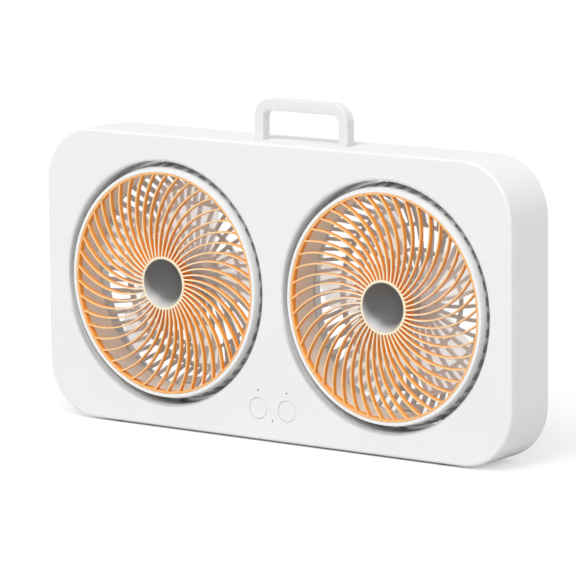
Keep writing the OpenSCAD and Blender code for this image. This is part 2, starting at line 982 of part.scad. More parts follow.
module stator() {
    color("peru")
        difference() {
            drum(stator_r, core_from, core_to);
            drum(core_r + air_gap, guard_inner_z, motor_front_z);
        }
}

module rotor_core() {
    color(BLACK)
        difference() {
            drum(core_r, core_from, core_to);
            drum(shaft_r, guard_inner_z, motor_front_z);
        }
}

module motor_shaft() {
    color(STEEL)
        drum(shaft_r, guard_inner_z + bearing_rest, shaft_front_z);
}

module bearing(z0) {
    color(STEEL)
        difference() {
            drum(bearing_r, z0, z0 + bearing_len);
            drum(shaft_r + running_gap, z0 - eps, z0 + bearing_len + eps);
        }
}

module front_bearing() { bearing(motor_front_z - bearing_lip - bearing_len); }
module rear_bearing() { bearing(guard_inner_z + bearing_rest); }

// ---------- head: impeller ----------

module blade() {
    intersection() {
        translate([0, 0, blade_z])
            rotate([blade_pitch, 0, 0])
                intersection() {
                    translate([0, -blade_chord / 2, -blade_t])
                        cube([duct_r, blade_chord, blade_camber_r]);
                    translate([0, 0, blade_camber_r])
                        rotate([0, 90, 0])
                            difference() {
                                cylinder(r = blade_camber_r + blade_t / 2, h = duct_r);
                                translate([0, 0, -eps])
                                    cylinder(r = blade_camber_r - blade_t / 2, h = duct_r + 2 * eps);
                            }
                }
        translate([blade_mid_r, 0, -blade_chord / 2])
            cylinder(r = blade_round_r, h = blade_chord);
    }
}

module rotor_hub() {
    nose_r = (pow(rotor_hub_r, 2) + pow(rotor_nose_h, 2)) / (2 * rotor_nose_h);
    nose_z = rotor_shoulder_z + rotor_nose_h;
    difference() {
        intersection() {
            drum(rotor_hub_r, rotor_back_z, nose_z + eps);
            translate([0, 0, nose_z - nose_r])
                sphere(nose_r);
        }
        difference() {
            drum(rotor_hub_r - rotor_wall, rotor_back_z - eps, rotor_shoulder_z - rotor_wall);
            drum(rotor_boss_r, rotor_back_z, rotor_shoulder_z);
        }
        drum(shaft_r, rotor_back_z - eps, shaft_front_z);
    }
}

module impeller() {
    color(FROSTED) {
        rotor_hub();
        difference() {
            for (i = [0 : blade_count - 1])
                rotate([0, 0, blade_start + i * 360 / blade_count])
                    blade();
            drum(rotor_hub_r - rotor_wall / 2, -blade_chord / 2, blade_chord / 2);
        }
    }
}

// ---------- head: pivots ----------

module pivot_pin(side) {
    head_from = frame_boss_top + bush_flange_t + free_gap;
    color(STEEL) {
        pivot_rod(side, pin_r, pin_foot, head_from);
        pivot_rod(side, pin_head_r, head_from, head_from + pin_head_t);
    }
}

module pivot_bush(side) {
    color(FROSTED)
        difference() {
            union() {
                pivot_rod(side, bush_r, boss_top + free_gap, frame_boss_top);
                pivot_rod(side, bush_flange_r, frame_boss_top, frame_boss_top + bush_flange_t);
            }
            pivot_rod(side, pin_r + running_gap, boss_top - eps, frame_boss_top + bush_flange_t + eps);
        }
}

// ---------- the two heads' nodes ----------

module left_head_ring() { on_left() head_ring(); }
module left_front_grille() { on_left() front_grille(); }
module left_hub_cap() { on_left() hub_cap(); }
module left_impeller() { on_left() impeller(); }
module left_rotor_core() { on_left() rotor_core(); }
module left_motor_shaft() { on_left() motor_shaft(); }
module left_motor_case() { on_left() motor_case(); }
module left_stator() { on_left() stator(); }
module left_front_bearing() { on_left() front_bearing(); }
module left_rear_bearing() { on_left() rear_bearing(); }
module left_rear_guard() { on_left() rear_guard(); }
module left_guard_screws() { on_left() guard_screws(); }
module left_motor_screws() { on_left() motor_screws(); }
module left_upper_pin() { on_left() pivot_pin(1); }
module left_lower_pin() { on_left() pivot_pin(-1); }
module left_upper_bush() { on_left() pivot_bush(1); }
module left_lower_bush() { on_left() pivot_bush(-1); }

module right_head_ring() { on_right() head_ring(); }
module right_front_grille() { on_right() front_grille(); }
module right_hub_cap() { on_right() hub_cap(); }
module right_impeller() { on_right() impeller(); }
module right_rotor_core() { on_right() rotor_core(); }
module right_motor_shaft() { on_right() motor_shaft(); }
module right_motor_case() { on_right() motor_case(); }
module right_stator() { on_right() stator(); }
module right_front_bearing() { on_right() front_bearing(); }
module right_rear_bearing() { on_right() rear_bearing(); }
module right_rear_guard() { on_right() rear_guard(); }
module right_guard_screws() { on_right() guard_screws(); }
module right_motor_screws() { on_right() motor_screws(); }
module right_upper_pin() { on_right() pivot_pin(1); }
module right_lower_pin() { on_right() pivot_pin(-1); }
module right_upper_bush() { on_right() pivot_bush(1); }
module right_lower_bush() { on_right() pivot_bush(-1); }

front_shell();
left_swivel_frame();
right_swivel_frame();
rear_cover();
cover_screws();
foot_front_left();
foot_front_right();
foot_rear_left();
foot_rear_right();
handle();
left_handle_guide();
right_handle_guide();
left_button();
right_button();
left_switch();
right_switch();
left_indicator();
middle_indicator();
right_indicator();
control_board();
board_screws();
power_inlet();
left_head_ring();
left_front_grille();
left_hub_cap();
left_impeller();
left_rotor_core();
left_motor_shaft();
left_motor_case();
left_stator();
left_front_bearing();
left_rear_bearing();
left_rear_guard();
left_guard_screws();
left_motor_screws();
left_upper_pin();
left_lower_pin();
left_upper_bush();
left_lower_bush();
right_head_ring();
right_front_grille();
right_hub_cap();
right_impeller();
right_rotor_core();
right_motor_shaft();
right_motor_case();
right_stator();
right_front_bearing();
right_rear_bearing();
right_rear_guard();
right_guard_screws();
right_motor_screws();
right_upper_pin();
right_lower_pin();
right_upper_bush();
right_lower_bush();
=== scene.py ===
"""Looks of the twin-head window fan: finishes, rounded and detailed pieces, studio, camera. Metres."""
import json
import math

import bmesh
import bpy
from mathutils import Matrix, Vector

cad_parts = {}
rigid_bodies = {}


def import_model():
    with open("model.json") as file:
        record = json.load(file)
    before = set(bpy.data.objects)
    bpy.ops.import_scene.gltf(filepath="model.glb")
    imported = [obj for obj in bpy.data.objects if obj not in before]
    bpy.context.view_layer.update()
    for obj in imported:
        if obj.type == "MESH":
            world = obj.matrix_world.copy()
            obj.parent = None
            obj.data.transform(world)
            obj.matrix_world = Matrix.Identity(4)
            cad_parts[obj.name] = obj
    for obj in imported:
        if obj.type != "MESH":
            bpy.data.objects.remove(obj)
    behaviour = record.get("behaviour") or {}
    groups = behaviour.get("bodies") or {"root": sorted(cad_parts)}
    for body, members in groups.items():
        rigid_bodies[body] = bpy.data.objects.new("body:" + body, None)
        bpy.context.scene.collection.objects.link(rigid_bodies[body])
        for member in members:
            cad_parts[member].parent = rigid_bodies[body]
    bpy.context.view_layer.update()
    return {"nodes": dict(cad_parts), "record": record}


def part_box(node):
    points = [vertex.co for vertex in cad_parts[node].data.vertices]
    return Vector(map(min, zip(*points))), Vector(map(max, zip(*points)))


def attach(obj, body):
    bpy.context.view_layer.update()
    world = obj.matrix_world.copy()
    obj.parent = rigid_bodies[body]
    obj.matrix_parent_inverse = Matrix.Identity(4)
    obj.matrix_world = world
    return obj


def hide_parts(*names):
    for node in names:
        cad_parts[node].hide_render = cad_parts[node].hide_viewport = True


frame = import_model()
nodes = frame["nodes"]
MM = 0.001
SIDES = ("left", "right")


# ---------- places and sizes read from the frame ----------

def span(name, axis):
    """How long a node is along an axis."""
    low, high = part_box(name)
    return high[axis] - low[axis]


def middle(name):
    """The middle of a node's box."""
    low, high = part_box(name)
    return (low + high) / 2


def station(name, front=True):
    """How far in front of the heads' middle a node's front or back lies."""
    low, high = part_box(name)
    return -low.y if front else -high.y


def facing_front(node):
    """Stands a mesh that is drawn with Z to the front and Y up at a node's middle."""
    spot = middle(node)
    return Matrix.Translation((spot.x, 0, spot.z)) @ Matrix.Rotation(math.radians(90), 4, "X")


def head_place(side):
    """Takes a mesh that is drawn so for the left head to either head; the right one is its mirror image."""
    place = facing_front("left_hub_cap")
    return place if side == "left" else Matrix.Scale(-1, 4, (1, 0, 0)) @ place


# ---------- writing node trees ----------

def operators(operation):
    """The plain and the reflected method that add one Math node of this kind."""
    def plain(self, other):
        return Writer(self.tree).maths(operation, self, other)

    def reflected(self, other):
        return Writer(self.tree).maths(operation, other, self)

    return plain, reflected


class Val:
    """Wraps a socket so that maths on it is written as plain expressions."""

    __add__, __radd__ = operators("ADD")
    __sub__, __rsub__ = operators("SUBTRACT")
    __mul__, __rmul__ = operators("MULTIPLY")
    __truediv__, __rtruediv__ = operators("DIVIDE")
    __pow__, __rpow__ = operators("POWER")

    def __init__(self, tree, socket):
        self.tree = tree
        self.socket = socket


def length(first, *others):
    """How long the vector with these parts is."""
    square = first * first
    for part in others:
        square = square + part * part
    return square ** 0.5


class Writer:
    """Adds nodes to one tree: settings first, then the sockets, by name or by number."""

    def __init__(self, tree):
        self.tree = tree

    def node(self, kind, settings=None, sockets=None, output=0):
        made = self.tree.nodes.new(kind)
        for key, value in (settings or {}).items():
            setattr(made, key, value)
        for key, value in (sockets or {}).items():
            slot = made.inputs[key]
            if isinstance(value, Val):
                self.tree.links.new(value.socket, slot)
            else:
                slot.default_value = value
        return Val(self.tree, made.outputs[output]) if made.outputs else made

    def maths(self, operation, *values):
        return self.node("ShaderNodeMath", {"operation": operation}, dict(enumerate(values)))

    def rise(self, value, low, high, start=0.0, end=1.0):
        """start below low and end above high, smooth between."""
        return self.node("ShaderNodeMapRange", {"interpolation_type": "SMOOTHSTEP"},
                         {"Value": value, "From Min": low, "From Max": high, "To Min": start, "To Max": end})

    def fall(self, value, low, high):
        """1 below low and 0 above high, smooth between."""
        return self.rise(value, low, high, 1.0, 0.0)

    def ray(self, kind):
        """1 for rays of this kind and 0 for all others."""
        return self.node("ShaderNodeLightPath", output=f"Is {kind} Ray")


class Finish(Writer):
    """One material being written; x, y and z say where on the piece a point lies."""

    def __init__(self, name, colour, roughness, **constants):
        self.material = bpy.data.materials.new(name)
        self.material.use_nodes = True
        super().__init__(self.material.node_tree)
        self.surface = next(n for n in self.tree.nodes if n.type == "BSDF_PRINCIPLED")
        self.surface.inputs["Base Color"].default_value = (*colour, 1)
        self.surface.inputs["Roughness"].default_value = roughness
        for socket, value in constants.items():
            self.surface.inputs[socket.replace("_", " ")].default_value = value
        self.place = self.node("ShaderNodeTexCoord", output="Object")
        split = self.tree.nodes.new("ShaderNodeSeparateXYZ")
        self.tree.links.new(self.place.socket, split.inputs[0])
        self.x, self.y, self.z = (Val(self.tree, split.outputs[axis]) for axis in "XYZ")

    def feed(self, socket, value):
        self.tree.links.new(value.socket, self.surface.inputs[socket])

    def noise(self, size, detail=2.0, stretch=(1, 1, 1)):
        place = self.node("ShaderNodeMapping", sockets={"Vector": self.place, "Scale": stretch})
        return self.node("ShaderNodeTexNoise",
                         sockets={"Vector": place, "Scale": 1 / size, "Detail": detail})

    def mix(self, factor, a, b):
        """Colour a where factor is 0 and colour b where it is 1; a colour mix has them at 6 and 7."""
        colours = {6: a if isinstance(a, Val) else (*a, 1), 7: b if isinstance(b, Val) else (*b, 1)}
        return self.node("ShaderNodeMix", {"data_type": "RGBA"}, {0: factor, **colours}, output=2)

    def broken_edges(self, radius):
        """The surface's direction, rounded over within this distance of an edge."""
        return self.node("ShaderNodeBevel", {"samples": 6}, {"Radius": radius})

    def bump(self, height, depth, normal):
        relief = self.node("ShaderNodeBump",
                           sockets={"Height": height, "Distance": depth, "Normal": normal})
        self.feed("Normal", relief)


# ---------- finishes ----------

WHITE = (0.875, 0.875, 0.875)
RING_WHITE = (0.92, 0.92, 0.92)
CLOUD_SIZE = 70 * MM
CLOUD_TONE = 0.03
GRAIN_DEPTH = 0.01 * MM

HOOP_R = span("left_front_grille", 0) / 2
RING_BALL_R = span("left_head_ring", 0) / 2
RING_DUCT_R = 117 * MM
NOTCH_START = 7.5 * MM
RING_NOTCH_FROM = NOTCH_START - station("left_head_ring")
BALL_GAP = 3.5 * MM
MOUTH_R = RING_BALL_R + BALL_GAP


def darker(colour, share):
    return tuple(c * (1 - share) for c in colour)


class Moulded(Finish):
    """Moulded plastic: a fine eroded grain, slightly broken edges and, unless tone is 0, faint clouds."""

    def __init__(self, name, colour, roughness=0.45, grain=0.7 * MM, edge=0.5 * MM, tone=CLOUD_TONE,
                 **constants):
        super().__init__(name, colour, roughness, **constants)
        self.clouds = self.noise(CLOUD_SIZE, 3)
        fine = self.noise(grain, 3)
        if tone:
            self.feed("Base Color", self.clouded(colour, tone))
        self.feed("Roughness", roughness - 0.04 + 0.05 * self.clouds + 0.04 * fine)
        self.bump(fine, GRAIN_DEPTH, self.broken_edges(edge))

    def clouded(self, colour, tone=CLOUD_TONE):
        """The colour, darker by the share tone between the clouds."""
        return self.mix(self.clouds, darker(colour, tone), colour)

    def from_hub(self):
        """How far to the right of, and above, the nearer head's middle a point lies."""
        hub = middle("right_hub_cap")
        side = self.maths("SIGN", self.x)
        return self.x - side * hub.x, self.z - hub.z


def orange_plastic():
    """Orange plastic with a painted highlight on the front edges, cream round the hub, apricot further out
    and weakest on the hoop.
    """
    f = Moulded("Swirl orange plastic", (0.98, 0.38, 0.04), 0.42, edge=0.35 * MM, tone=0,
                Specular_IOR_Level=0.35)
    front = -station("left_front_grille")
    # Painted highlight: the front edges of the ribs, hoop and hub ring are painted pale, as if lit.
    pale = f.fall(f.y, front + 0.2 * MM, front + 1.4 * MM)
    radius = length(*f.from_hub())
    outwards = f.rise(radius, 28 * MM, 80 * MM)
    on_hoop = f.rise(radius, HOOP_R - 3 * MM, HOOP_R - 2 * MM)
    deep_orange, bright_orange = (0.96, 0.36, 0.035), (0.99, 0.40, 0.045)
    painted_cream, painted_apricot = (0.97, 0.95, 0.75), (0.98, 0.70, 0.38)
    body = f.mix(f.noise(30 * MM), deep_orange, bright_orange)
    f.feed("Base Color", f.mix((0.85 - 0.4 * on_hoop) * pale, body, f.mix(outwards, painted_cream, painted_apricot)))
    return f


def ring_plastic():
    """White plastic with painted light and shade: a cream tint inside the duct for bounce light from the
    orange grille, and painted grey shade on the notched outer wall and in its notches, most at mid height.
    """
    f = Moulded("Head ring white plastic", WHITE, 0.42, edge=0.4 * MM, tone=0)
    right, up = f.from_hub()
    # Painted bounce light: the inside of the duct is tinted cream for the light from the orange grille.
    duct = f.fall(length(right, up), RING_DUCT_R - 0.5 * MM, RING_DUCT_R + 0.5 * MM)
    # Painted shade: the outer wall fades to grey towards the notches and stays grey behind them, notch
    # floors darker still, less shade near top and bottom.
    sunk = f.fall(length(right, up, f.y), RING_BALL_R - 0.9 * MM, RING_BALL_R - 0.3 * MM)
    notched = f.rise(f.y, RING_NOTCH_FROM - 0.4 * MM, RING_NOTCH_FROM + 0.2 * MM)
    before = f.rise(f.y, RING_NOTCH_FROM - 6 * MM, RING_NOTCH_FROM)
    behind = f.rise(f.y, RING_NOTCH_FROM - 0.3 * MM, RING_NOTCH_FROM + 2 * MM)
    off_middle = f.rise(f.maths("ABSOLUTE", up), 40 * MM, 100 * MM)
    painted_pale_grey, painted_cream = (0.76, 0.757, 0.753), (0.93, 0.89, 0.81)
    land_shade_at_middle, land_shade_at_ends = (0.46, 0.457, 0.454), (0.74, 0.735, 0.73)
    notch_shade_at_middle, notch_shade_at_ends = (0.40, 0.397, 0.395), (0.68, 0.675, 0.67)
    wall = f.mix(before, f.clouded(RING_WHITE), painted_pale_grey)
    wall = f.mix(behind, wall, f.mix(off_middle, land_shade_at_middle, land_shade_at_ends))
    wall = f.mix(sunk * notched, wall, f.mix(off_middle, notch_shade_at_middle, notch_shade_at_ends))
    f.feed("Base Color", f.mix(duct, wall, painted_cream))
    return f


def shell_plastic():
    """White plastic with painted shade grey low on the flared lips of the openings, and a paler white
    painted on the wall behind them to lift its shade.
    """
    f = Moulded("Body white plastic", WHITE, 0.5, edge=0.7 * MM, tone=0)
    right, up = f.from_hub()
    radius = length(right, up)
    # Painted shade on the lower lips, and painted light on the wall deep inside each opening.
    lip = f.fall(radius, MOUTH_R + 1 * MM, MOUTH_R + 3.2 * MM) * f.fall(up, -70 * MM, -5 * MM)
    wall = f.fall(radius, MOUTH_R + 0.1 * MM, MOUTH_R + 0.5 * MM)
    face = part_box("front_shell")[0].y
    deep = f.rise(f.y, face + 3 * MM, face + 4 * MM) * f.fall(f.y, face + 14 * MM, face + 22 * MM)
    lip_painted_shade, wall_painted_light = (0.50, 0.497, 0.493), (0.90, 0.896, 0.892)
    white = f.mix(lip, f.clouded(WHITE), lip_painted_shade)
    f.feed("Base Color", f.mix(wall * deep, white, wall_painted_light))
    return f


def satin_dish():
    """Dark warm grey paint in the hub's dish, with painted light that makes it paler where the dish turns up
    at its lower left.
    """
    f = Moulded("Hub cap satin grey", (0.13, 0.125, 0.12), 0.38, grain=0.4 * MM, tone=0)
    right, up = f.from_hub()
    # Painted light: the lower-left part of the dish is painted pale, as if lit.
    rim = f.rise(length(right - 3 * MM, up - 9 * MM), 25 * MM, 36 * MM)
    dark_grey, painted_pale_grey = (0.12, 0.115, 0.11), (0.68, 0.67, 0.66)
    f.feed("Base Color", f.mix(rim, dark_grey, painted_pale_grey))
    return f


def steel(name, colour, roughness, stretch):
    """Plated steel with a fine grain, drawn out along an axis whose stretch is below 1."""
    f = Finish(name, colour, roughness, Metallic=1.0)
    lines = f.noise(0.5 * MM, 2, stretch)
    f.feed("Base Color", f.mix(lines, darker(colour, 0.15), colour))
    f.feed("Roughness", roughness - 0.08 + 0.16 * lines)
    f.bump(lines, GRAIN_DEPTH, f.broken_edges(0.2 * MM))
    return f


def copper_windings():
    """Enamelled wire wound round the stator; a wave 2 mm in size makes a turn every 0.63 mm."""
    f = Finish("Stator windings", (0.55, 0.22, 0.08), 0.35, Metallic=1.0)
    turns = f.node("ShaderNodeTexWave", {"bands_direction": "Y"},
                   {"Vector": f.place, "Scale": 1 / (2 * MM)})
    between, on_wire = (0.35, 0.12, 0.04), (0.62, 0.26, 0.10)
    f.feed("Base Color", f.mix(turns, between, on_wire))
    f.bump(turns, 0.1 * MM, f.broken_edges(0.2 * MM))
    return f


def circuit_board():
    """Green solder mask over copper tracks."""
    f = Finish("Circuit board", (0.02, 0.16, 0.07), 0.3)
    tracks = f.node("ShaderNodeTexBrick", output=1,
                    sockets={"Vector": f.place, "Scale": 1 / (12 * MM), "Mortar Size": 0.03})
    mask, over_track = (0.02, 0.14, 0.06), (0.05, 0.26, 0.11)
    f.feed("Base Color", f.mix(tracks, mask, over_track))
    f.bump(tracks, 0.03 * MM, f.broken_edges(0.2 * MM))
    return f


def rubber():
    """Black rubber, dusty in small patches."""
    f = Finish("Foot rubber", (0.03, 0.03, 0.032), 0.8)
    dust = f.noise(4 * MM, 4)
    clean, dusty = (0.022, 0.022, 0.024), (0.05, 0.05, 0.05)
    f.feed("Base Color", f.mix(dust, clean, dusty))
    f.feed("Roughness", 0.7 + 0.2 * dust)
    f.bump(f.noise(0.5 * MM), 0.03 * MM, f.broken_edges(0.4 * MM))
    return f


FINISHES = {
    "shell_white": shell_plastic(),
    "button_white": Moulded("Button white plastic", WHITE, 0.4, edge=0.3 * MM),
    "handle_white": Moulded("Handle white plastic", (0.84, 0.837, 0.833), 0.42),
    "ring_white": ring_plastic(),
    # The rear guard's colour is greyed and warmed as painted shade behind the grille.
    "guard_white": Moulded("Rear guard grey plastic", (0.66, 0.637, 0.605)),
    "grille_orange": orange_plastic(),
    "cap_grey": satin_dish(),
    "blade_frosted": Moulded("Frosted blade plastic", (0.95, 0.97, 0.98), 0.35, Alpha=0.30),
    "inner_plastic": Moulded("Bush plastic", (0.72, 0.72, 0.69), 0.35),
    "motor_steel": steel("Motor steel", (0.56, 0.56, 0.57), 0.38, (1, 0.05, 1)),
    "bright_steel": steel("Zinc-plated steel", (0.70, 0.70, 0.69), 0.3, (1, 1, 0.1)),
    "winding_copper": copper_windings(),
    "magnet_dark": steel("Magnet", (0.10, 0.10, 0.11), 0.45, (1, 1, 1)),
    "foot_rubber": rubber(),
    "board_green": circuit_board(),
    "black_plastic": Moulded("Black plastic", (0.02, 0.02, 0.021), 0.4, tone=0.2),
    "lamp_clear": Moulded("Smoked light guide", (0.03, 0.03, 0.032), 0.2),
}


# ---------- making and handing in pieces ----------

def body_holding(node):
    return next(name for name, members in frame["record"]["behaviour"]["bodies"].items() if node in members)


def slot_of(node):
    return next(s["material_slot"] for s in frame["record"]["subparts"] if s["node"] == node)


def hand_in(name, mesh, node, crease=30):
    """Makes a mesh a piece that rides with, and stands for, a CAD node; turns above crease stay sharp."""
    mesh.shade_smooth()
    mesh.set_sharp_from_angle(angle=math.radians(crease))
    mesh.materials.clear()
    mesh.materials.append(FINISHES[slot_of(node)].material)
    piece = bpy.data.objects.new(name, mesh)
    bpy.context.scene.collection.objects.link(piece)
    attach(piece, body_holding(node))
    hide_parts(node)


def facing_out(made):
    bmesh.ops.recalc_face_normals(made, faces=made.faces)


def as_mesh(name, made):
    mesh = bpy.data.meshes.new(name)
    made.to_mesh(mesh)
    made.free()
    return mesh


def joined(name, meshes):
    """One mesh of several, which are used up."""
    made = bmesh.new()
    for mesh in meshes:
        made.from_mesh(mesh)
        bpy.data.meshes.remove(mesh)
    return as_mesh(name, made)


def placed(mesh, place):
    """Moves a mesh to its place, and turns its faces out again where the place mirrors it."""
    mesh.transform(place)
    if place.determinant() < 0:
        mesh.flip_normals()
    return mesh


def rounded(corners, steps=5):
    """A closed outline from (x, y, radius) corners, each round corner an arc."""
    outline = []
    count = len(corners)
    for i, (x, y, radius) in enumerate(corners):
        here = Vector((x, y))
        if radius == 0:
            outline.append(here)
            continue
        to_last = (Vector(corners[i - 1][:2]) - here).normalized()
        to_next = (Vector(corners[(i + 1) % count][:2]) - here).normalized()
        half = to_last.angle(to_next) / 2
        centre = here + (to_last + to_next).normalized() * radius / math.sin(half)
        first = here + to_last * radius / math.tan(half) - centre
        last = here + to_next * radius / math.tan(half) - centre
        turn = first.angle_signed(last)
        for k in range(steps + 1):
            outline.append(centre + Matrix.Rotation(-turn * k / steps, 2) @ first)
    return outline


def cap_arc(sphere_r, centre, rim_r, steps, way):
    """The arc of a dome (way 1) or a dish (way -1), from its rim to the axis, for the lathe."""
    arc = []
    edge = math.asin(rim_r / sphere_r)
    for k in range(steps + 1):
        turn = edge * (1 - k / steps)
        arc.append(Vector((sphere_r * math.sin(turn), centre + way * sphere_r * math.cos(turn))))
    return arc


def cap_sphere(rim_r, height):
    """The radius of the sphere that a cap with this rim and height is cut from."""
    return (rim_r ** 2 + height ** 2) / (2 * height)


def circle(made, radius, height, steps):
    """A ring of vertices round Z, or one vertex repeated where the radius is 0."""
    if radius == 0:
        return [made.verts.new((0, 0, height))] * steps
    turns = [2 * math.pi * k / steps for k in range(steps)]
    return [made.verts.new((radius * math.cos(a), radius * math.sin(a), height)) for a in turns]


def bridge(made, rings):
    """Faces between each ring of vertices and the next; where one vertex is repeated they are triangles."""
    for a, b in zip(rings, rings[1:]):
        for k in range(len(a)):
            after = (k + 1) % len(a)
            corners = list(dict.fromkeys((a[k], a[after], b[after], b[k])))
            if len(corners) > 2:
                made.faces.new(corners)


def tube(made, rings):
    """A closed solid from rings of vertices: its wall, and a flat face at each end."""
    bridge(made, rings)
    for end in (rings[0], rings[-1]):
        made.faces.new(end)


def lathe(made, outline, steps):
    """Turns a closed (radius, height) outline round Z."""
    rings = [circle(made, radius, height, steps) for radius, height in outline]
    bridge(made, rings + rings[:1])


def turned(name, outline, steps):
    """A lathe-turned mesh on its own."""
    made = bmesh.new()
    lathe(made, outline, steps)
    facing_out(made)
    return as_mesh(name, made)


class Pattern(Writer):
    """A geometry-node tree with named sizes, grown into a plain mesh."""

    def __init__(self, name, **sizes):
        super().__init__(bpy.data.node_groups.new(name, "GeometryNodeTree"))
        self.name = name
        self.sizes = {label.replace("_", " "): value for label, value in sizes.items()}
        face = self.tree.interface
        face.new_socket("Geometry", in_out="OUTPUT", socket_type="NodeSocketGeometry")
        self.ids = {}
        for label, value in self.sizes.items():
            kind = "NodeSocketInt" if isinstance(value, int) else "NodeSocketFloat"
            self.ids[label] = face.new_socket(label, in_out="INPUT", socket_type=kind).identifier
        self.inputs = self.tree.nodes.new("NodeGroupInput")

    def size(self, label):
        return Val(self.tree, self.inputs.outputs[label])

    def grow(self, geometry, material):
        """Ends the tree, runs it on an empty object and returns the mesh."""
        real = self.node("GeometryNodeRealizeInstances", sockets={"Geometry": geometry})
        done = self.node("GeometryNodeSetMaterial", sockets={"Geometry": real, "Material": material})
        end = self.tree.nodes.new("NodeGroupOutput")
        self.tree.links.new(done.socket, end.inputs[0])
        holder = bpy.data.objects.new(self.name, bpy.data.meshes.new(self.name))
        bpy.context.scene.collection.objects.link(holder)
        modifier = holder.modifiers.new(self.name, "NODES")
        modifier.node_group = self.tree
        for label, value in self.sizes.items():
            modifier[self.ids[label]] = value
        graph = bpy.context.evaluated_depsgraph_get()
        mesh = bpy.data.meshes.new_from_object(holder.evaluated_get(graph))
        empty = holder.data
        bpy.data.objects.remove(holder)
        bpy.data.meshes.remove(empty)
        return mesh


# ---------- swirl grille ----------

RIB_COUNT = 45
RIB_T = 1.65 * MM
RIB_DEPTH = 7 * MM
RIB_SET_BACK = 1.2 * MM
RIB_CURVE_R = 90 * MM
RIB_CURVE_OFFSET = 91 * MM
RIB_TURN = math.radians(-66.4)
RIB_STEPS = 28
HOOP_T = 2.4 * MM
HUB_RING_T = 2.6 * MM
HUB_PLATE_T = 1.4 * MM
GRILLE_EDGE = 0.5 * MM

GRILLE_FRONT = station("left_front_grille")
GRILLE_BACK = station("left_front_grille", front=False)
SEAT = station("left_head_ring") - RIB_DEPTH
HUB_R = span("left_hub_cap", 0) / 2


def rib_angle(radius):
    """Where along its arc a rib is at that distance from the fan's axis."""
    cosine = (RIB_CURVE_OFFSET ** 2 + RIB_CURVE_R ** 2 - radius ** 2) / (2 * RIB_CURVE_OFFSET * RIB_CURVE_R)
    return math.acos(cosine)


def swirl_ribs():
    """The curved ribs, in the left head's frame."""
    back = SEAT + RIB_SET_BACK
    outer = rib_angle(HOOP_R - HOOP_T / 2)
    inner = rib_angle(HUB_R + HUB_RING_T / 2)
    p = Pattern("Swirl ribs", Count=RIB_COUNT, Rib_thickness=RIB_T, Rib_depth=GRILLE_FRONT - back,
                Curve_radius=RIB_CURVE_R, Arc_start=math.pi - outer, Arc_sweep=outer - inner,
                Edge_radius=GRILLE_EDGE)
    arc = p.node("GeometryNodeCurveArc", {"mode": "RADIUS"},
                 {"Resolution": RIB_STEPS, "Radius": p.size("Curve radius"),
                  "Start Angle": p.size("Arc start"), "Sweep Angle": p.size("Arc sweep")})
    flat = p.node("GeometryNodeSetCurveNormal", {"mode": "Z_UP"}, {"Curve": arc})
    blank = p.node("GeometryNodeCurvePrimitiveQuadrilateral",
                   sockets={"Width": p.size("Rib thickness"), "Height": p.size("Rib depth")})
    profile = p.node("GeometryNodeFilletCurve", {"mode": "POLY"},
                     {"Curve": blank, "Count": 3, "Radius": p.size("Edge radius")})
    rib = p.node("GeometryNodeCurveToMesh",
                 sockets={"Curve": flat, "Profile Curve": profile, "Fill Caps": True})
    offset = (RIB_CURVE_OFFSET, 0, (GRILLE_FRONT + back) / 2)
    rib = p.node("GeometryNodeTransform", sockets={"Geometry": rib, "Translation": offset})
    spots = p.node("GeometryNodePoints", sockets={"Count": p.size("Count")})
    turn = p.node("GeometryNodeInputIndex") * (2 * math.pi) / p.size("Count") + RIB_TURN
    angles = p.node("ShaderNodeCombineXYZ", sockets={"Z": turn})
    ribs = p.node("GeometryNodeInstanceOnPoints",
                  sockets={"Points": spots, "Instance": rib, "Rotation": angles})
    return p.grow(ribs, FINISHES["grille_orange"].material)


def outer_hoop():
    """The ring round the ribs' outer ends."""
    e = GRILLE_EDGE
    inner = HOOP_R - HOOP_T
    outline = rounded([(inner, SEAT, e), (HOOP_R, SEAT, e), (HOOP_R, GRILLE_FRONT, e),
                       (inner, GRILLE_FRONT, e)], 3)
    return turned("hoop", outline, 180)


def hub_ring():
    """The ring at the ribs' inner ends, closed by a plate behind the hub cap."""
    e = GRILLE_EDGE
    outer = HUB_R + HUB_RING_T
    plate_front = GRILLE_BACK + HUB_PLATE_T
    outline = rounded([(0, GRILLE_BACK, 0), (outer, GRILLE_BACK, e), (outer, GRILLE_FRONT, 2 * e),
                       (HUB_R, GRILLE_FRONT, e), (HUB_R, plate_front, 0), (0, plate_front, 0)], 4)
    return turned("hub ring", outline, 120)


for side in SIDES:
    mesh = joined("swirl grille", [swirl_ribs(), outer_hoop(), hub_ring()])
    hand_in(f"{side}_swirl_grille", placed(mesh, head_place(side)), f"{side}_front_grille")


# ---------- hub cap ----------

DISH_RIM = 1 * MM
DISH_DEPTH = 12 * MM
CAP_EDGE = 0.5 * MM
RIM_EDGE = 0.4 * MM


def hub_cap():
    """A dished cap with a soft rim."""
    back = station("left_hub_cap", front=False)
    front = station("left_hub_cap")
    dish_r = cap_sphere(HUB_R - DISH_RIM, DISH_DEPTH)
    down_the_dish = (HUB_R - 3 * MM, front - 2 * MM, 0)
    rim = rounded([(HUB_R, back, 0), (HUB_R, front, CAP_EDGE), (HUB_R - DISH_RIM, front, RIM_EDGE),
                   down_the_dish], 4)
    dish = cap_arc(dish_r, front - DISH_DEPTH + dish_r, HUB_R - DISH_RIM - RIM_EDGE, 24, -1)
    return turned("hub cap", [Vector((0, back)), *rim[:-1], *dish], 120)


for side in SIDES:
    hand_in(f"{side}_dished_cap", placed(hub_cap(), head_place(side)), f"{side}_hub_cap")


# ---------- impeller ----------

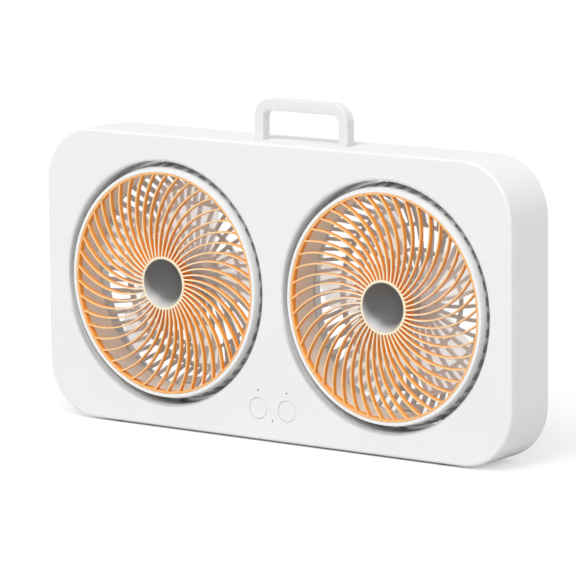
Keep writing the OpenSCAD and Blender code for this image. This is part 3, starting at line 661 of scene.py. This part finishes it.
BLADE_COUNT = 5
BLADE_CHORD = 64 * MM
BLADE_PITCH = math.radians(28)
BLADE_T = 1.8 * MM
BLADE_CAMBER_R = 90 * MM
BLADE_ROUND_R = 44 * MM
BLADE_MID_R = 64 * MM
BLADE_Z = -1 * MM
BLADE_START = math.radians(8)
BLADE_ROOT = 0.6 * MM
BLADE_SHORT = 0.15 * MM
TIP_TAPER = 6 * MM
THIN_SHARE = 0.25
ROTOR_HUB_R = 25 * MM
ROTOR_WALL = 2.5 * MM
ROTOR_EDGE = 0.4 * MM
NOSE_T = 3 * MM
NOSE_H = 4 * MM
NOSE_GAP = 2 * MM
MOTOR_GAP = 1 * MM


def blade_surface(across):
    """Height of the blade's middle surface at a distance across it, square to its radius."""
    chord = across / math.cos(BLADE_PITCH)
    for _ in range(6):
        rise = BLADE_CAMBER_R - math.sqrt(BLADE_CAMBER_R ** 2 - chord ** 2)
        chord = (across + rise * math.sin(BLADE_PITCH)) / math.cos(BLADE_PITCH)
    return chord * math.sin(BLADE_PITCH) + rise * math.cos(BLADE_PITCH) + BLADE_Z


def add_blade(made, turn):
    """One blade: thickest in the middle, thin and round at its edges."""
    along, over = 36, 20
    root = ROTOR_HUB_R - BLADE_ROOT
    tip = BLADE_MID_R + BLADE_ROUND_R - BLADE_SHORT
    widest = BLADE_CHORD / 2 * math.cos(BLADE_PITCH)
    top_and_back = [(k, 1) for k in range(over + 1)] + [(k, -1) for k in range(over - 1, 0, -1)]
    rows = []
    for i in range(along + 1):
        radius = root + (tip - root) * math.sin(math.pi / 2 * i / along)
        half = min(widest, math.sqrt(max(BLADE_ROUND_R ** 2 - (radius - BLADE_MID_R) ** 2, 0)))
        taper = math.sqrt(min(1, (tip - radius) / TIP_TAPER + THIN_SHARE))
        row = []
        for k, way in top_and_back:
            share = -math.cos(math.pi * k / over)
            thick = BLADE_T * (THIN_SHARE + (1 - THIN_SHARE) * math.sqrt(max(1 - share ** 2, 0))) * taper / 2
            if k in (0, over):
                thick = 0
            point = Vector((radius, half * share, blade_surface(half * share) + way * thick))
            row.append(made.verts.new(Matrix.Rotation(turn, 3, "Z") @ point))
        rows.append(row)
    tube(made, rows)


def impeller():
    """Blades round a hollow hub with a domed nose."""
    made = bmesh.new()
    for i in range(BLADE_COUNT):
        add_blade(made, BLADE_START + i * 2 * math.pi / BLADE_COUNT)
    back = station("left_motor_case") + MOTOR_GAP
    nose = GRILLE_BACK - NOSE_GAP
    bore_r = ROTOR_HUB_R - ROTOR_WALL
    dome_r = cap_sphere(ROTOR_HUB_R, NOSE_H)
    wall = [Vector((0, nose - NOSE_T)), Vector((bore_r, nose - NOSE_H - ROTOR_WALL)), Vector((bore_r, back)),
            Vector((ROTOR_HUB_R - ROTOR_EDGE, back)), Vector((ROTOR_HUB_R, back + ROTOR_EDGE))]
    lathe(made, wall + cap_arc(dome_r, nose - dome_r, ROTOR_HUB_R, 12, 1), 96)
    facing_out(made)
    return as_mesh("impeller", made)


for side in SIDES:
    hand_in(f"{side}_fan_blades", placed(impeller(), head_place(side)), f"{side}_impeller")


# ---------- handle ----------

HANDLE_EDGE = 1.1 * MM
HANDLE_CORNER_R = 20 * MM
LEG_W = 11 * MM
GRIP_T = 12 * MM
STOP_OUT = 1.5 * MM
STOP_T = 3 * MM
UNDER_WALL = 3.8 * MM  # the shell's wall and the play behind it


def handle_path(leg_x, bottom, top):
    """The arch's middle line from foot to foot, as (x, z, turn, share of the way from leg to grip)."""
    steps = 14
    bend = HANDLE_CORNER_R - (LEG_W + GRIP_T) / 4
    path = [(-leg_x, bottom, 0, 0)]
    for k in range(steps + 1):
        turn = math.pi / 2 * k / steps
        x = -leg_x + bend * (1 - math.cos(turn))
        z = top - bend + bend * math.sin(turn)
        path.append((x, z, turn, k / steps))
    return path + [(-x, z, math.pi - turn, share) for x, z, turn, share in reversed(path)]


def handle_bar():
    """An arch of rounded rectangular bar with a stop flange low on each leg."""
    low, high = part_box("handle")
    centre = (low + high) / 2
    half_d = (high.y - low.y) / 2 - STOP_OUT
    leg_x = (high.x - low.x) / 2 - STOP_OUT - LEG_W / 2
    e = HANDLE_EDGE
    made = bmesh.new()
    rings = []
    for x, z, turn, share in handle_path(leg_x, low.z, high.z - GRIP_T / 2):
        half_t = (LEG_W + (GRIP_T - LEG_W) * share) / 2
        outline = rounded([(-half_t, -half_d, e), (half_t, -half_d, e), (half_t, half_d, e),
                           (-half_t, half_d, e)], 5)
        out = Vector((-math.cos(turn), 0, math.sin(turn)))
        rings.append([made.verts.new(Vector((centre.x + x, centre.y + v, z)) + out * u)
                      for u, v in outline])
    tube(made, rings)
    stop_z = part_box("front_shell")[1].z - UNDER_WALL - STOP_T / 2
    for way in (-1, 1):
        size = Matrix.Diagonal((LEG_W + 2 * STOP_OUT, 2 * (half_d + STOP_OUT), STOP_T, 1))
        spot = Matrix.Translation((centre.x + way * leg_x, centre.y, stop_z))
        bmesh.ops.create_cube(made, size=1, matrix=spot @ size)
    facing_out(made)
    return as_mesh("handle", made)


hand_in("carrying_handle", handle_bar(), "handle")


# ---------- buttons ----------

BUTTON_FLANGE_OUT = 1.9 * MM
BUTTON_FLANGE_T = 1.5 * MM
BUTTON_STEM_R = 4 * MM
BUTTON_DISH = 0.35 * MM
BUTTON_RIM = 1 * MM


def button(side):
    """A flush round cap with a very shallow dish, its flange and its stem."""
    node = f"{side}_button"
    low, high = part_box(node)
    flange_r = (high.x - low.x) / 2
    cap_r = flange_r - BUTTON_FLANGE_OUT
    front, back = -low.y, -high.y
    flange_front = front - UNDER_WALL
    flange_back = flange_front - BUTTON_FLANGE_T
    outline = rounded([(0, front - BUTTON_DISH, 0), (cap_r - BUTTON_RIM, front, 2 * MM),
                       (cap_r, front, 0.4 * MM), (cap_r, flange_front, 0),
                       (flange_r, flange_front, 0.2 * MM), (flange_r, flange_back, 0.2 * MM),
                       (BUTTON_STEM_R, flange_back, 0), (BUTTON_STEM_R, back, 0.3 * MM), (0, back, 0)], 5)
    return placed(turned("button", outline, 96), facing_front(node))


for side in SIDES:
    hand_in(f"{side}_button_cap", button(side), f"{side}_button")


# ---------- light guides ----------

LENS_R = 0.85 * MM
LENS_INSET = 0.15 * MM
LENS_EDGE = 0.2 * MM


def light_guide(node):
    """A rod behind the face whose slim tip stands in its pinhole."""
    low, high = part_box(node)
    rod_r = (high.x - low.x) / 2
    back, shoulder = -high.y, -low.y
    tip = -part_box("front_shell")[0].y - LENS_INSET
    outline = rounded([(0, back, 0), (rod_r, back, 0), (rod_r, shoulder, LENS_EDGE), (LENS_R, shoulder, 0),
                       (LENS_R, tip, LENS_EDGE), (0, tip, 0)], 4)
    return placed(turned("light guide", outline, 48), facing_front(node))


for node in nodes:
    if node.endswith("_indicator"):
        hand_in(node.replace("indicator", "light_guide"), light_guide(node), node)


# ---------- feet ----------

GROOVES_R = (2 * MM, 3.5 * MM, 5 * MM)
GROOVE_DEPTH = 0.4 * MM
FOOT_STEM_R = 3.4 * MM
STEM_CAP_R = 4.2 * MM
STEM_CAP_T = 1.5 * MM


def foot_pad(node):
    """A soft pad with three ring grooves in its sole, and the stud that holds it in the shell."""
    low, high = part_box(node)
    pad_r = (high.x - low.x) / 2
    pad_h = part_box("front_shell")[0].z
    outline = [Vector((0, 0))]
    for groove_r in GROOVES_R:
        outline += [Vector((groove_r - GROOVE_DEPTH, 0)), Vector((groove_r, GROOVE_DEPTH)),
                    Vector((groove_r + GROOVE_DEPTH, 0))]
    cap_z = high.z - STEM_CAP_T
    outline += rounded([(5.5 * MM, 0, 0), (pad_r, 0, 0.7 * MM), (pad_r, pad_h, 0.2 * MM),
                        (FOOT_STEM_R, pad_h, 0), (FOOT_STEM_R, cap_z, 0), (STEM_CAP_R, cap_z, 0.2 * MM),
                        (STEM_CAP_R, high.z, 0.6 * MM), (0, high.z, 0)], 4)
    spot = middle(node)
    return placed(turned("foot", outline, 64), Matrix.Translation((spot.x, spot.y, 0)))


for node in nodes:
    if node.startswith("foot_"):
        hand_in(node.replace("foot", "grip_foot"), foot_pad(node), node)


# ---------- screws ----------

HEAD_T = 1.6 * MM
HEAD_DROP = 0.45  # how much lower the head's rim is, as a share of its height
ARM_SHARE = 0.17  # the recess as shares of the head: half an arm's width, its reach and its depth
REACH_SHARE = 0.62
DEPTH_SHARE = 0.55
CROSS_TURN = 700  # radians for each metre of a screw's place, so that the crosses stand at different turns
WELD_GAP = 0.01 * MM


def cross_head(made, head_r, shank_r, shank_l):
    """A pan head with a cross recess, pointing up Z with its seat at 0, and its shank below."""
    rings, steps = 14, 64
    arm, reach, deep = head_r * ARM_SHARE, head_r * REACH_SHARE, HEAD_T * DEPTH_SHARE
    dome = [circle(made, 0, HEAD_T - deep, steps)]
    for i in range(1, rings + 1):
        row = circle(made, head_r * i / rings, HEAD_T * (1 - HEAD_DROP * (i / rings) ** 3), steps)
        for vert in row:
            across, along = sorted((abs(vert.co.x), abs(vert.co.y)))
            if across < arm and along < reach:
                vert.co.z -= deep * min(1, 3 * (1 - along / reach))
        dome.append(row)
    for radius, height in ((head_r, 0), (shank_r, 0), (shank_r, -shank_l), (0, -shank_l - shank_r)):
        dome.append(circle(made, radius, height, steps))
    bridge(made, dome)


def islands(node):
    """The box of each separate solid in a CAD node."""
    made = bmesh.new()
    made.from_mesh(nodes[node].data)
    bmesh.ops.remove_doubles(made, verts=made.verts, dist=WELD_GAP)
    left = set(made.verts)
    boxes = []
    while left:
        solid, reached = set(), [left.pop()]
        while reached:
            vert = reached.pop()
            solid.add(vert)
            for link in vert.link_edges:
                other = link.other_vert(vert)
                if other in left:
                    left.discard(other)
                    reached.append(other)
        boxes.append([[pick(v.co[i] for v in solid) for i in range(3)] for pick in (min, max)])
    made.free()
    return [(Vector(low), Vector(high)) for low, high in sorted(boxes)]


def screws(node, shank_r):
    """A cross-head screw, head to the back, at each screw of a CAD node."""
    meshes = []
    for low, high in islands(node):
        one = bmesh.new()
        cross_head(one, (high.x - low.x) / 2, shank_r, high.y - low.y - HEAD_T - shank_r)
        seat = Vector(((low.x + high.x) / 2, high.y - HEAD_T, (low.z + high.z) / 2))
        to_back = Matrix.Rotation(math.radians(-90), 4, "X")
        cross = Matrix.Rotation(CROSS_TURN * (low.x + low.z), 4, "Z")
        one.transform(Matrix.Translation(seat) @ to_back @ cross)
        facing_out(one)
        meshes.append(as_mesh("screw", one))
    hand_in(f"{node}_cross_head", joined(node, meshes), node, crease=40)


screws("cover_screws", shank_r=1.5 * MM)
screws("board_screws", shank_r=1.1 * MM)
for side in SIDES:
    screws(f"{side}_guard_screws", shank_r=1.25 * MM)
    screws(f"{side}_motor_screws", shank_r=1.25 * MM)


# ---------- CAD solids that keep their shape ----------

for name, node in nodes.items():
    if not node.hide_render:
        node.data.materials.clear()
        node.data.materials.append(FINISHES[slot_of(name)].material)


# ---------- studio ----------

LIGHT = (1, 1, 1, 1)
FLOOR_HALF = 40.0
FLOOR_FAR = (0.87, 0.87, 0.87)
FLOOR_NEAR_SHADE = (0.78, 0.78, 0.78)
FLOOR_LIFT = 0.03
FLOOR_BRIGHT = 1.01
FLOOR_GLOW = 0.58
BODY_CORNER = 82 * MM
SKY_STRENGTH = 0.5
GLOSS_LOW = 0.6
GLOSS_HIGH = 1.6


def studio_floor():
    """A wide white floor that keeps the object's contact shadow; the camera alone sees it lightened, and
    other rays see it painted darker near the body, a painted shade.
    """
    made = bmesh.new()
    bmesh.ops.create_grid(made, x_segments=1, y_segments=1, size=FLOOR_HALF)
    floor = bpy.data.objects.new("studio_floor", as_mesh("studio floor", made))
    bpy.context.scene.collection.objects.link(floor)
    f = Finish("Studio floor", FLOOR_FAR, 0.9, Specular_IOR_Level=0.0)
    past = []
    for along, half in ((f.x, span("front_shell", 0) / 2 - BODY_CORNER), (f.y, span("front_shell", 1) / 2)):
        past.append(f.maths("MAXIMUM", f.maths("ABSOLUTE", along) - half, 0.0))
    off = length(*past)
    # Painted shade: the floor's colour is darker within half a metre of the body.
    f.feed("Base Color", f.mix(f.rise(off, 0.0, 0.5), FLOOR_NEAR_SHADE, FLOOR_FAR))
    sheet = f.node("ShaderNodeBsdfDiffuse", sockets={"Color": LIGHT})
    lift = f.node("ShaderNodeEmission", sockets={"Color": LIGHT, "Strength": FLOOR_LIFT})
    sheet = f.node("ShaderNodeAddShader", sockets={0: sheet, 1: lift})
    glow = f.node("ShaderNodeEmission", sockets={"Color": LIGHT, "Strength": FLOOR_BRIGHT})
    share = FLOOR_GLOW * f.rise(off, -5 * MM, 50 * MM)
    pale = f.node("ShaderNodeMixShader", sockets={0: share, 1: sheet, 2: glow})
    plain = Val(f.tree, f.surface.outputs[0])
    both = f.node("ShaderNodeMixShader", sockets={0: f.ray("Camera"), 1: plain, 2: pale})
    end = next(n for n in f.tree.nodes if n.type == "OUTPUT_MATERIAL")
    f.tree.links.new(both.socket, end.inputs["Surface"])
    floor.data.materials.append(f.material)


def sky():
    """Even soft light from all round; the camera and clear parts see white, gloss a softbox overhead."""
    world = bpy.data.worlds.new("Studio sky")
    world.use_nodes = True
    bpy.context.scene.world = world
    world.node_tree.nodes.clear()
    w = Writer(world.node_tree)
    height = w.node("ShaderNodeSeparateXYZ", sockets={0: w.node("ShaderNodeTexCoord")}, output="Z")
    gloss = w.rise(height, 0.1, 0.75, GLOSS_LOW, GLOSS_HIGH)
    light, softbox, white = (w.node("ShaderNodeBackground", sockets={"Color": LIGHT, "Strength": strength})
                             for strength in (SKY_STRENGTH, gloss, 1.0))
    mixed = w.node("ShaderNodeMixShader", sockets={0: w.ray("Glossy"), 1: light, 2: softbox})
    seen = w.maths("MAXIMUM", w.ray("Camera"), w.ray("Transmission"))
    mixed = w.node("ShaderNodeMixShader", sockets={0: seen, 1: mixed, 2: white})
    w.node("ShaderNodeOutputWorld", sockets={"Surface": mixed})


def sun(name, towards, strength, spread):
    """A very soft lamp that is equally strong everywhere; spread is its angle in degrees."""
    lamp = bpy.data.lights.new(name, "SUN")
    lamp.energy = strength
    lamp.angle = math.radians(spread)
    holder = bpy.data.objects.new(name, lamp)
    bpy.context.scene.collection.objects.link(holder)
    holder.rotation_mode = "QUATERNION"
    holder.rotation_quaternion = Vector(towards).to_track_quat("-Z", "Y")


def camera():
    """The photograph's view: a long lens to the right of the front, a little above."""
    azimuth, elevation, roll = math.radians(37.07), math.radians(9.09), math.radians(-0.57)
    distance = 4.664
    focal_px = 4472.5
    image_px = 576
    aim = Vector((-0.0038, 0, 0.1588))
    back = Vector((math.sin(azimuth) * math.cos(elevation), -math.cos(azimuth) * math.cos(elevation),
                   math.sin(elevation)))
    data = bpy.data.cameras.new("Camera")
    data.sensor_width = 36
    data.lens = focal_px / image_px * data.sensor_width
    data.clip_end = 200
    seen = bpy.data.objects.new("Camera", data)
    bpy.context.scene.collection.objects.link(seen)
    seen.location = aim + back * distance
    seen.rotation_mode = "QUATERNION"
    tilt = Matrix.Rotation(roll, 3, "Z").to_quaternion()
    seen.rotation_quaternion = (-back).to_track_quat("-Z", "Y") @ tilt
    bpy.context.scene.camera = seen


studio_floor()
sky()
sun("Overhead softbox", towards=(-0.26, 1.08, -1.50), strength=1.87, spread=40)
sun("Low rear fill", towards=(0.0, -1.0, -0.12), strength=0.4, spread=50)
camera()
bpy.context.scene.view_settings.view_transform = "Standard"
